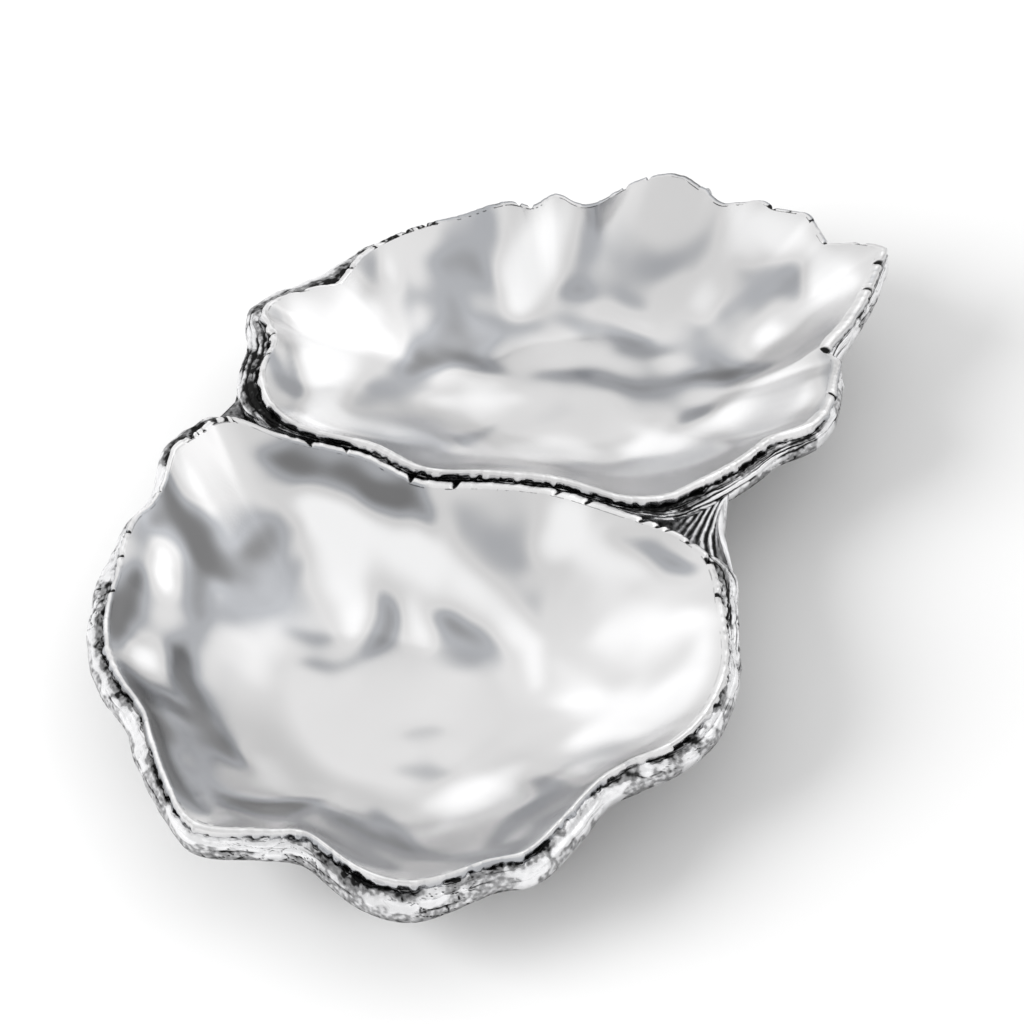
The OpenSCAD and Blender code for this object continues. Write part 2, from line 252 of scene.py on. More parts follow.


# Flanks of the waves, which also give the painted reflections in the polish's colour: strength,
# a dark painted reflection below 0 and a bright one above, half width, and path over the bowl in
# millimetres
STROKES = {
    "front": [
        (-0.25, 3.5, [(-5, -21), (7, -23)]),
        (0.4, 3.5, [(30, -1), (49, -3)]),
        (-0.4, 3.5, [(-42, -70), (-32, -76), (-25, -77)]),
        (0.3, 2.8, [(-9, -73), (-1, -76)]),
        (0.3, 4.9, [(27, -61), (36, -64)]),
        (-0.5, 2.8, [(-42, -70), (-36, -74)]),
        (-0.4, 2.8, [(-20, -93), (-12, -91), (-8, -80)]),
        (0.4, 4.9, [(-12, -7), (-4, -13)]),
        (0.2, 8.4, [(19, 0), (26, -8)]),
        (-1.15, 4.2, [(-48, -4), (-39, -4), (-30, -4), (-19, -6), (-8, -8)]),
        (-0.6, 3.1, [(-31, -3), (-24, -4), (-15, -6), (-7, -8)]),
        (-0.42, 5.2, [(-41, -15), (-43, -22), (-45, -32)]),
        (0.34, 4.4, [(-45, -11), (-36, -11)]),
        (-0.34, 4.5, [(-38, -19), (-39, -28), (-42, -36)]),
        (-1.06, 3.1, [(-66, -17), (-60, -23), (-55, -27), (-49, -31)]),
        (-0.5, 2.8, [(-51, -29), (-48, -39), (-44, -51)]),
        (-0.93, 2.8, [(-46, -56), (-39, -64), (-31, -71), (-22, -77)]),
        (0.93, 2.8, [(-60, -34), (-56, -39), (-53, -45)]),
        (0.93, 3.2, [(-50, -63), (-45, -65)]),
        (0.55, 1.9, [(-64, -14), (-57, -18), (-53, -21)]),
        (-1.15, 3.1, [(-59, -45), (-57, -54), (-53, -65)]),
        (-1.06, 2.8, [(-50, -70), (-43, -77), (-36, -86), (-27, -94), (-18, -98)]),
        (0.31, 4.4, [(-23, -72), (-11, -77)]),
        (-0.6, 2.4, [(-31, -78), (-25, -87), (-19, -90), (-12, -88)]),
        (-0.55, 2.1, [(-14, -89), (-9, -83), (-5, -75)]),
        (0.54, 2.0, [(-19, -99), (-13, -96)]),
        (-0.68, 3.1, [(-3, -80), (6, -83), (16, -87), (26, -90)]),
        (-0.5, 2.1, [(6, -75), (12, -80), (19, -87)]),
        (-0.62, 2.8, [(-4, -90), (9, -95), (18, -97)]),
        (-0.5, 2.8, [(26, -90), (36, -89), (42, -83)]),
        (-0.52, 2.8, [(34, -85), (35, -73), (39, -66), (51, -66)]),
        (-0.37, 2.4, [(42, -83), (45, -74), (48, -69)]),
        (-0.37, 1.4, [(-29, -38), (-24, -37), (-19, -34)]),
        (-0.4, 1.4, [(-23, -44), (-16, -43), (-10, -38)]),
        (-0.68, 2.8, [(-14, -21), (-10, -25), (-9, -32), (-10, -37)]),
        (0.93, 3.6, [(-35, -11), (-26, -15), (-19, -23), (-16, -32)]),
        (1.0, 3.2, [(-37, -10), (-25, -11), (-13, -13), (-1, -14), (11, -17), (21, -24), (26, -33)]),
        (0.77, 2.0, [(-8, -21), (-4, -26), (0, -30)]),
        (-0.62, 4.5, [(1, -22), (8, -24), (14, -26)]),
        (-0.27, 5.6, [(-3, -5), (7, -6), (16, -7)]),
        (0.93, 4.4, [(18, 2), (25, -2)]),
        (-0.48, 2.4, [(31, -1), (39, -2), (48, -5)]),
        (0.7, 7.2, [(35, -20), (45, -18), (55, -18)]),
        (0.7, 6.0, [(35, -36), (50, -39), (57, -33)]),
        (0.7, 4.8, [(39, -47), (51, -45)]),
        (0.62, 3.6, [(58, -23), (60, -36), (56, -49)]),
        (-0.3, 2.4, [(4, -55), (12, -51)]),
        (-0.34, 3.1, [(7, -64), (18, -60)]),
        (0.46, 3.6, [(20, -79), (22, -70), (25, -62)]),
        (0.46, 4.8, [(15, -70), (22, -63), (29, -56)]),
        (-0.38, 4.2, [(-42, -40), (-34, -32), (-33, -21)]),
        (-0.27, 3.5, [(-51, -33), (-43, -50)]),
        (0.41, 4.0, [(-38, -8), (-26, -7)]),
        (-0.22, 4.9, [(14, -12), (20, -19)]),
        (0.41, 3.6, [(28, -2), (42, -8)]),
        (-0.27, 2.8, [(35, -62), (44, -62)]),
        (-0.32, 3.1, [(-14, -94), (-6, -85)]),
        (0.41, 3.6, [(-49, -58), (-46, -58)]),
        (0.54, 3.2, [(38, -55), (50, -53)]),
        (0.34, 4.8, [(27, -6), (39, -7)]),
        (0.34, 4.0, [(28, -27), (39, -34)]),
        (0.45, 1.4, [(-40, -2), (-28, -2), (-16, -4)]),
        (-0.5, 2.4, [(-43, -74), (-37, -79), (-32, -84)]),
        (-0.35, 2.4, [(-47, -50), (-41, -57)]),
        (-0.4, 2.1, [(-22, -90), (-14, -86), (-8, -78)]),
        (-0.35, 1.8, [(32, -60), (42, -59)]),
        (-0.4, 2.1, [(-58, -25), (-60, -32), (-59, -40)]),
        (-0.4, 3.1, [(-46, -53), (-41, -60), (-35, -67)]),
        (-0.3, 3.5, [(-36, -13), (-43, -24)]),
        (-0.5, 2.3, [(-56, -19), (-51, -26), (-45, -31)]),
        (-0.5, 2.4, [(-61, -29), (-60, -37), (-58, -48)]),
        (0.4, 2.8, [(-34, -10), (-25, -12), (-12, -15), (-4, -17)]),
        (-0.85, 2.8, [(30, -1), (40, -2), (51, -6)]),
        (-0.25, 3.1, [(13, -8), (25, -7)]),
        (0.35, 1.8, [(28, 0), (39, 0), (51, -3)]),
    ],
    "rear": [
        (0.3, 3.5, [(25, 100), (34, 93)]),
        (-0.5, 3.1, [(-27, 80), (-22, 74)]),
        (0.5, 2.4, [(-13, 90), (-10, 86)]),
        (-0.25, 4.2, [(8, 72), (33, 70)]),
        (-0.25, 3.5, [(-37, 31), (-24, 41)]),
        (0.4, 3.1, [(22, 26), (38, 30)]),
        (-0.3, 2.8, [(44, 91), (50, 84)]),
        (0.5, 4.2, [(-24, 15), (-10, 23)]),
        (-0.3, 4.2, [(34, 96), (45, 91)]),
        (-0.2, 4.9, [(0, 88), (12, 90)]),
        (0.25, 4.9, [(-7, 81), (20, 88)]),
        (-0.3, 3.5, [(9, 68), (32, 69)]),
        (0.3, 2.8, [(-38, 37), (-26, 46), (-13, 49)]),
        (0.4, 3.1, [(26, 33), (44, 32)]),
        (1.0, 8.0, [(-56, 38), (-48, 32), (-42, 22)]),
        (0.77, 7.2, [(-49, 44), (-40, 45)]),
        (-0.62, 1.0, [(-62, 34), (-56, 28), (-51, 21), (-47, 11)]),
        (-0.43, 0.9, [(-60, 26), (-54, 19), (-50, 11)]),
        (-0.5, 1.8, [(-47, 59), (-46, 54), (-46, 50)]),
        (0.62, 2.8, [(-44, 60), (-40, 56)]),
        (-0.68, 4.9, [(-35, 68), (-29, 70), (-23, 71)]),
        (-0.31, 3.5, [(-36, 59), (-30, 63)]),
        (-0.31, 2.4, [(-36, 72), (-27, 81)]),
        (-0.43, 3.1, [(-36, 38), (-32, 46)]),
        (1.0, 3.6, [(-17, 81), (-16, 77), (-16, 70)]),
        (-0.5, 2.4, [(-4, 90), (-4, 86), (-6, 82)]),
        (0.77, 4.0, [(-15, 86), (-12, 81)]),
        (-0.3, 3.8, [(-7, 80), (8, 87), (19, 93), (24, 98)]),
        (-0.35, 2.8, [(-10, 76), (1, 81), (11, 82)]),
        (0.62, 2.0, [(-8, 74), (4, 78), (14, 77)]),
        (-0.48, 4.9, [(-7, 73), (2, 74), (14, 74)]),
        (-0.5, 3.1, [(-33, 47), (-30, 55), (-22, 63), (-11, 69)]),
        (-0.43, 2.4, [(-28, 52), (-20, 53), (-13, 52)]),
        (-0.25, 3.8, [(-32, 40), (-36, 29), (-38, 17)]),
        (-0.6, 2.8, [(-5, 54), (5, 57), (18, 57), (28, 64), (39, 66), (50, 64), (58, 64)]),
        (1.0, 3.1, [(40, 77), (45, 78)]),
        (-0.25, 3.1, [(22, 82), (27, 76), (36, 72)]),
        (-0.34, 5.9, [(27, 79), (32, 85), (40, 88)]),
        (-0.5, 3.1, [(30, 93), (39, 92), (47, 86)]),
        (-0.5, 1.8, [(43, 100), (51, 95)]),
        (0.62, 4.4, [(48, 90), (58, 88)]),
        (0.62, 6.4, [(30, 100), (46, 94), (58, 86)]),
        (-0.3, 3.5, [(31, 50), (34, 55)]),
        (1.0, 6.6, [(40, 52), (47, 54), (55, 56)]),
        (0.77, 5.2, [(-47, 13), (-40, 16)]),
        (-0.5, 1.9, [(-8, 36), (-12, 27), (-14, 12)]),
        (-0.31, 1.8, [(-9, 14), (6, 24), (21, 22)]),
        (0.62, 5.2, [(-42, 10), (-29, 18), (-17, 22)]),
        (0.54, 5.2, [(-1, 31), (16, 34)]),
        (0.85, 6.0, [(22, 39), (43, 38)]),
        (0.62, 5.2, [(47, 39), (57, 50)]),
        (0.46, 4.8, [(-27, 36), (-7, 46)]),
        (0.54, 4.0, [(19, 68), (29, 68)]),
        (-0.43, 4.2, [(-40, 60), (-37, 55)]),
        (-0.43, 3.5, [(-29, 47), (-23, 56), (-18, 62)]),
        (0.54, 4.8, [(23, 85), (27, 87)]),
        (0.68, 6.0, [(44, 62), (55, 63)]),
        (0.47, 4.8, [(22, 45), (33, 41)]),
        (0.68, 6.0, [(36, 48), (48, 50), (56, 52)]),
        (0.9, 4.2, [(-26, 18), (-15, 23)]),
        (0.41, 4.0, [(-51, 50), (-48, 47)]),
        (0.47, 4.4, [(34, 101), (42, 99)]),
        (-0.35, 2.8, [(-33, 41), (-28, 50)]),
        (-0.2, 3.1, [(29, 66), (48, 67)]),
        (-0.7, 1.2, [(-61, 35), (-55, 30), (-50, 22), (-46, 10), (-46, 2)]),
        (0.7, 0.9, [(-60, 31), (-55, 25), (-50, 18)]),
        (-0.5, 0.9, [(-60, 27), (-55, 21), (-50, 13)]),
        (-0.25, 3.1, [(59, 62), (64, 50), (62, 41)]),
        (-0.35, 2.4, [(-10, 78), (-1, 79)]),
        (-0.35, 2.3, [(-32, 42), (-26, 50)]),
        (-0.36, 5.2, [(31, 47), (36, 53)]),
        (0.4, 2.8, [(-23, 2), (-16, 18)]),
        (0.35, 2.8, [(22, 28), (36, 33)]),
        (-0.3, 2.8, [(-55, 27), (-51, 20)]),
        (0.4, 3.1, [(-29, 1), (-21, 8), (-15, 23)]),
    ]}
# Nicks in the lips: direction, half width, depth
NICKS = {
    "front": [(53.7, 0.8, 0.9), (50.8, 0.8, 0.9), (49.2, 0.6, 0.8), (45.1, 0.9, 1.0),
              (40.1, 1.3, 1.8), (31.9, 1.0, 1.2), (169, 0.7, 1.0), (175, 0.7, 0.9), (146, 1.0, 1.2),
              (158, 0.6, 0.6), (184, 0.8, 0.8), (126.5, 0.8, 0.7), (119.5, 0.6, 0.6),
              (104.5, 0.8, 0.8), (93, 0.8, 0.8), (70.7, 0.7, 0.7), (64.2, 0.8, 0.9)],
    "rear": [(155.4, 0.7, 0.9), (161.4, 0.6, 0.7), (126.1, 0.6, 0.8), (122.4, 0.7, 1.0),
             (92.3, 0.5, 1.0), (87.1, 0.5, 1.0), (57.4, 0.6, 0.9), (42.8, 0.8, 0.8),
             (38.9, 0.8, 0.9), (33.4, 0.8, 1.0), (27.8, 0.6, 0.9), (358, 0.6, 0.8),
             (11.7, 1.4, 1.4), (191, 0.8, 0.9), (180, 0.7, 0.7), (203.5, 0.7, 0.7),
             (209, 0.6, 0.7)]}
# How far the crack below each lip stands open: direction, share
GAPE = {
    "front": [(0, 0.5), (6, 0.3), (20, 0.15), (30, 0.2), (37, 1), (45, 1), (56, 0.7), (64, 0.15),
              (75, 0.15), (95, 0.2), (108, 0.25), (128, 0.35), (134, 1.2), (138, 2.1), (145, 2.1),
              (149, 1.2), (153, 0.4), (157, 0.2), (180, 0.25), (188, 0.9), (198, 0.8), (209, 0.4),
              (237, 0.4), (247, 0.3), (254, 0.1), (268, 0.2), (276, 0.4), (284, 0.8), (291, 0.9),
              (297, 0.5), (302, 0.1), (308, 0.1), (314, 0.45), (322, 0.5), (330, 0.2), (336, 0.15),
              (343, 0.5), (350, 0.6), (356, 0.8)],
    "rear": [(0, 0.15), (6, 0.3), (12, 0.5), (16, 0.8), (20, 1), (24, 0.8), (28, 0.5), (40, 0.6),
             (45, 1), (49, 2.1), (58, 2.1), (64, 0.6), (71, 0.2), (89, 0.3), (112, 0.4), (138, 0.6),
             (146, 1.6), (150, 2.3), (168, 2.3), (174, 1.6), (180, 1.2), (194, 1.3), (199, 1),
             (209, 0.7), (217, 1.2), (224, 1), (230, 0.7), (243, 0.6), (262, 0.8), (285, 0.7),
             (297, 0.7), (305, 0.9), (332, 0.9), (338, 0.4), (345, 0.2), (348, 0.8), (352, 0.6),
             (356, 0.15)]}
# How much wider than usual each lip is cast, and how far it leans out: direction, amount
SPREAD = {
    "front": [(0, -0.2), (10, 0.0), (40, 0.0), (60, 1.2), (135, 1.2), (145, 0.0), (258, 0.0),
              (270, -0.5), (345, -0.5)],
    "rear": [(0, 0.6), (20, 1.2), (35, 0.8), (50, 0.0), (214, 0.0), (226, -0.4), (238, 0.1),
             (250, 0.0), (257, -0.5), (266, -0.4), (275, 0.1), (290, 0.0), (302, 0.0), (335, 0.0),
             (350, 0.6)]}
LEANING = {
    "front": [(0, 0.0), (180, 0.0), (190, 0.8), (200, 1.8), (245, 2.0), (256, 0.6), (270, -0.3),
              (285, -0.8), (335, -0.8), (348, 0.0)],
    "rear": [(0, 0.0), (360, 0.0)]}
# How bright the painted highlight along each lip's top is, below 0 a painted shade, and how
# much darker the band beside the crack is made: direction, share
GLEAM = {
    "front": [(0, 0.5), (180, 0.6), (285, 0.6), (300, 0.25), (345, 0.25)],
    "rear": [(0, 0.6), (30, 0.3), (60, -0.6), (150, -0.6), (170, 0.5), (360, 0.6)]}
DARK = {
    "front": [(0, 0.6), (6, 0.2), (20, 0.1), (36, 0.5), (48, 0.4), (56, 0.0), (126, 0.1),
              (134, 0.9), (142, 1.3), (150, 0.9), (156, 0.0), (182, 0.1), (190, 0.6), (200, 0.6),
              (208, 0.2), (254, 0.2), (270, 0.5), (281, 0.9), (293, 0.9), (299, 0.3), (306, 0.1),
              (314, 0.5), (324, 0.6), (332, 0.3), (340, 0.3), (350, 0.9), (358, 0.9)],
    "rear": [(0, 0.0), (10, 0.2), (16, 0.6), (28, 0.6), (36, 0.3), (60, 0.6), (150, 0.8),
             (175, 0.6), (188, 0.8), (196, 0.8), (204, 0.3), (211, 0.3), (215, 1.4), (225, 1.4),
             (231, 0.4), (250, 0.4), (258, 0.9), (268, 0.8), (278, 0.3), (288, 0.4), (300, 1.0),
             (305, 1.3), (312, 1.3), (320, 0.9), (327, 0.9), (333, 0.4), (350, 0.6), (355, 0.0)]}
# Section of the lip, from its inner edge: share of its width outwards, rise above its height
LIP_SECTION = [(0.0, 0.0), (0.22, 0.16), (0.45, 0.22), (0.68, 0.12), (0.88, -0.2), (1.0, -0.7),
               (1.02, -1.2), (0.98, -1.8), (0.85, -2.4), (0.5, -2.9)]
# How much of a nick's depth each point of that section takes
NICKED = [0.1, 0.5, 0.9, 1.0, 1.0, 1.0, 0.9, 0.8, 0.6, 0.3]
# Places in the bowl's underside, from the lip to the middle: share of its radius
UNDER_SHARES = (0.93, 0.8, 0.62, 0.45, 0.25, 0.0)
# How much of the lip's painted highlight shows across it: share of its section, share of the
# highlight
HIGHLIGHT_AT, HIGHLIGHT_SHARE = (0, 0.12, 0.23, 0.32, 0.42, 0.6), (0, 0.15, 1, 1, 0.35, 0.1)

rims = {}
for half in ("front", "rear"):
    centre = shell_centre(half)
    lip_reach, lip_height = rim_of(f"{half}_bowl", centre)
    layer_reach, _ = rim_of(f"{half}_shell", centre)
    rims[half] = (centre, lip_reach, lip_height, layer_reach)

bowls = {}
for half, seed in (("front", 3.0), ("rear", 17.0)):
    centre, lip_reach, lip_height, _ = rims[half]
    angles, ring = rings_round(centre, BOWL_TURNS)
    height = around(lip_height, BOWL_TURNS)
    reach = around(lip_reach, BOWL_TURNS) + by_direction(LEANING[half], angles)
    calm, calm_height = calmed(lip_reach, BOWL_TURNS), calmed(lip_height, BOWL_TURNS)

    # Inside, from the middle of the floor out to the lip, with its waves
    shares = 1 - (1 - np.linspace(0, 1, BOWL_RINGS)) ** 1.3
    rows = []
    for t in shares:
        blend = t ** 4
        top = calm_height * (1 - blend) + height * blend
        rows.append(ring(t * (calm * (1 - blend) + reach * blend - LIP_W),
                         FLOOR_Z + (top - FLOOR_Z) * wall_rise(half, t)))
    inside = np.array(rows)
    fade = 1 - np.clip((shares - 0.9) / 0.1, 0, 1)[:, None] ** 2
    wave, steep = waves(STROKES[half], centre)
    # The flanks of the waves, with some noise, are also the painted reflections: dark and bright
    # clouds in the bowl's colour
    clouds = 0.14 * grain(inside, 17.0, seed + 1) + 0.08 * grain(inside, 6.0, seed + 2)
    shine = read_grid(steep, inside, centre) + clouds
    inside[..., 2] += fade * read_grid(wave, inside, centre)

    # Rounded lip with its nicks
    cut = nicks(angles, reach, NICKS[half])
    rim_line = ring(reach, height)
    wide = LIP_W + by_direction(SPREAD[half], angles)
    rough = (0.5 * grain(rim_line, 4.0, seed) + 0.4 * grain(rim_line, 1.6, seed)
             + 0.25 * grain(rim_line, 0.7, seed) + 0.35 * grain(rim_line, 1.3, seed, "CELLNOISE"))
    lip = []
    for (out, up), share in zip(LIP_SECTION, NICKED):
        lower = min(1, max(0, -up - 0.5))
        lip.append(ring(reach - LIP_W + wide * out - cut * share * 0.7
                        + rough * (0.2 + 1.2 * lower) * 0.8,
                        height + up - cut * share + rough * (0.2 + lower)))
    lip = between(lip, LIP_RINGS)

    # Underside, hidden in the shell
    under = np.array([wall_ring(half, ring, t, calm, reach, height, BOWL_WALL)
                      for t in UNDER_SHARES])
    places = np.concatenate([inside, lip, under])

    # Patina in the nicks, on the torn edge below the lip and in spots on its outer face
    level = np.linspace(0, 1, LIP_RINGS)[:, None]
    nicked = between([np.clip(cut * share * 1.6, 0, 1) for share in NICKED], LIP_RINGS)
    torn = 2.1 - 1.1 * by_direction(GAPE[half], angles) + 1.2 * rough
    low = between([np.clip((-up - torn) / 0.4, 0, 1) for _, up in LIP_SECTION], LIP_RINGS)
    low = low * np.clip(0.9 + 0.9 * grain(lip, 1.1, seed + 7), 0, 1)
    face = np.clip((level - 0.42) / 0.2, 0, 1) * (0.25 + 0.7 * grain(lip, 1.5, seed + 8))
    black = np.clip(np.maximum.reduce([nicked, low, face]), 0, 1)
    patina = np.concatenate([np.zeros(inside.shape[:2]), black, np.ones(under.shape[:2])])

    # The lip carries on the bowl's painted reflections; along its top a painted highlight, turning
    # to painted shade where GLEAM is below 0, and painted shade growing down its outer face
    lip_painted_light = (by_direction(GLEAM[half], angles) + 0.5 * grain(rim_line, 7.0, seed + 6)
              + 0.5 * rough)
    bright = np.interp(level, HIGHLIGHT_AT, HIGHLIGHT_SHARE)
    lip_painted_reflections = shine[-1] * (1 - bright) + lip_painted_light * bright - 0.45 * level
    shine = np.concatenate([shine, lip_painted_reflections, np.zeros(under.shape[:2])])

    bowls[half] = wrapped_grid(f"{half}_polished_bowl", places, patina=patina, shine=shine)
    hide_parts(f"{half}_bowl")
    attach(bowls[half], "root")


def link(tree, out, into):
    tree.links.new(out, into)


def metal(name, bright_rough, dull_rough, speckle):
    """Aluminium, black where its patina was left. Gives back the material, how much patina each
    place has, and the socket for the colour of the bright metal."""
    material = bpy.data.materials.new(name)
    material.use_nodes = True
    tree = material.node_tree
    shader = tree.nodes["Principled BSDF"]
    shader.inputs["Metallic"].default_value = 1.0
    place = tree.nodes.new("ShaderNodeTexCoord")
    left = tree.nodes.new("ShaderNodeAttribute")
    left.attribute_name = "patina"
    spots = tree.nodes.new("ShaderNodeTexNoise")
    spots.inputs["Scale"].default_value = 900
    spots.inputs["Detail"].default_value = 4
    link(tree, place.outputs["Object"], spots.inputs["Vector"])
    centred = tree.nodes.new("ShaderNodeMath")
    centred.operation = "SUBTRACT"
    centred.inputs[1].default_value = 0.5
    link(tree, spots.outputs["Fac"], centred.inputs[0])
    shifted = tree.nodes.new("ShaderNodeMath")
    shifted.operation = "MULTIPLY_ADD"
    shifted.inputs[1].default_value = speckle
    link(tree, centred.outputs["Value"], shifted.inputs[0])
    link(tree, left.outputs["Fac"], shifted.inputs[2])
    black = tree.nodes.new("ShaderNodeMapRange")
    black.interpolation_type = "SMOOTHSTEP"
    black.inputs["From Min"].default_value = 0.45
    black.inputs["From Max"].default_value = 0.8
    link(tree, shifted.outputs["Value"], black.inputs["Value"])
    # A Mix node's sockets 2 and 3 are its two plain values, 6 and 7 its two colours
    colour = tree.nodes.new("ShaderNodeMix")
    colour.data_type = "RGBA"
    colour.inputs[7].default_value = (0.02, 0.02, 0.02, 1)
    link(tree, black.outputs["Result"], colour.inputs["Factor"])
    link(tree, colour.outputs[2], shader.inputs["Base Color"])
    rough = tree.nodes.new("ShaderNodeMix")
    rough.inputs[2].default_value = bright_rough
    rough.inputs[3].default_value = dull_rough
    link(tree, black.outputs["Result"], rough.inputs["Factor"])
    link(tree, rough.outputs[0], shader.inputs["Roughness"])
    fine = tree.nodes.new("ShaderNodeTexNoise")
    fine.inputs["Scale"].default_value = 2500
    fine.inputs["Detail"].default_value = 3
    link(tree, place.outputs["Object"], fine.inputs["Vector"])
    bump = tree.nodes.new("ShaderNodeBump")
    bump.inputs["Strength"].default_value = 0.2
    bump.inputs["Distance"].default_value = 0.0001
    link(tree, fine.outputs["Fac"], bump.inputs["Height"])
    link(tree, bump.outputs["Normal"], shader.inputs["Normal"])
    return material, shifted.outputs["Value"], colour.inputs[6]


def ramp(tree, value, into, *stops):
    """Colours along a value: where each stands, red, green, blue."""
    tones = tree.nodes.new("ShaderNodeValToRGB")
    tones.color_ramp.interpolation = "EASE"
    ends = tones.color_ramp.elements
    for at, *colour in stops[1:-1]:
        ends.new(at).color = (*colour, 1)
    for end, (at, *colour) in ((ends[0], stops[0]), (ends[-1], stops[-1])):
        end.position, end.color = at, (*colour, 1)
    link(tree, value, tones.inputs["Fac"])
    link(tree, tones.outputs["Color"], into)


# The painted reflections on the polish are put into the metal's colour, from the attribute on the
# bowls
satin, _, satin_colour_with_painted_reflections = metal("satin_aluminium", 0.2, 0.5, 0.3)
painted_reflection_attribute = satin.node_tree.nodes.new("ShaderNodeAttribute")
painted_reflection_attribute.attribute_name = "shine"
painted_reflection_level = satin.node_tree.nodes.new("ShaderNodeMapRange")
painted_reflection_level.inputs["From Min"].default_value = -1
link(satin.node_tree, painted_reflection_attribute.outputs["Fac"], painted_reflection_level.inputs["Value"])
ramp(satin.node_tree, painted_reflection_level.outputs["Result"], satin_colour_with_painted_reflections,
     (0, 0.19, 0.19, 0.193), (0.25, 0.4, 0.41, 0.43), (0.5, 0.7, 0.696, 0.698),
     (1, 0.98, 0.98, 0.985))
for bowl in bowls.values():
    bowl.data.materials.append(satin)

# The rough outer shells are the same casting left as it came from the sand: a thick layered edge
# that stands out beyond the polished lip, cracked along its layers, blackened all over and then
# rubbed bright on its high spots. Below the edge the wall runs in to a flat base.
SHELL_TURNS, BAND_RINGS = 1200, 56
SHELL_WALL, BASE_Z, BOND = 2.6, 2.5, 0.2
LAYER_TOP, LAYER_D = 3.0, 5.0
# How far the layers of the edge part: direction, share
PARTED = {
    "front": [(0, -0.3), (18, 0.0), (28, 0.9), (44, 0.9), (50, 0.2), (136, 0.3), (143, 0.7),
              (150, -0.2), (190, -0.3), (240, -0.2), (290, -0.1), (330, -0.2)],
    "rear": [(0, -0.1), (14, 0.3), (30, 0.2), (45, -0.1), (160, 0.0), (182, 0.3), (205, 0.9),
             (222, 0.5), (235, 0.0), (300, 0.2), (315, 1.0), (340, 1.0), (352, 0.2)]}
# How much higher than usual the edge stands beside the lip: direction, amount
RAISED = {
    "front": [(108, 0.0), (120, 1.8), (140, 1.8), (148, 0.5), (158, 0.0)],
    "rear": [(0, 0.0), (360, 0.0)]}
# Seams between the layers: share of the way down the edge, noise shift, share that they part
SEAMS = ((0.37, 21, 1.0), (0.46, 22, 1.0), (0.55, 23, 0.9), (0.64, 24, 0.45))
# Places in the shell's wall: share of its radius, inside from the middle, outside towards it
INNER_SHARES, OUTER_SHARES = (0.0, 0.3, 0.55, 0.75, 0.9), np.linspace(0.93, 0.0, 22)
antiqued, antiqued_patina, antiqued_colour = metal("antiqued_aluminium", 0.26, 0.6, 0.45)
ramp(antiqued.node_tree, antiqued_patina, antiqued_colour,
     (0, 0.85, 0.85, 0.86), (0.25, 0.7, 0.7, 0.71), (0.5, 0.3, 0.3, 0.305))

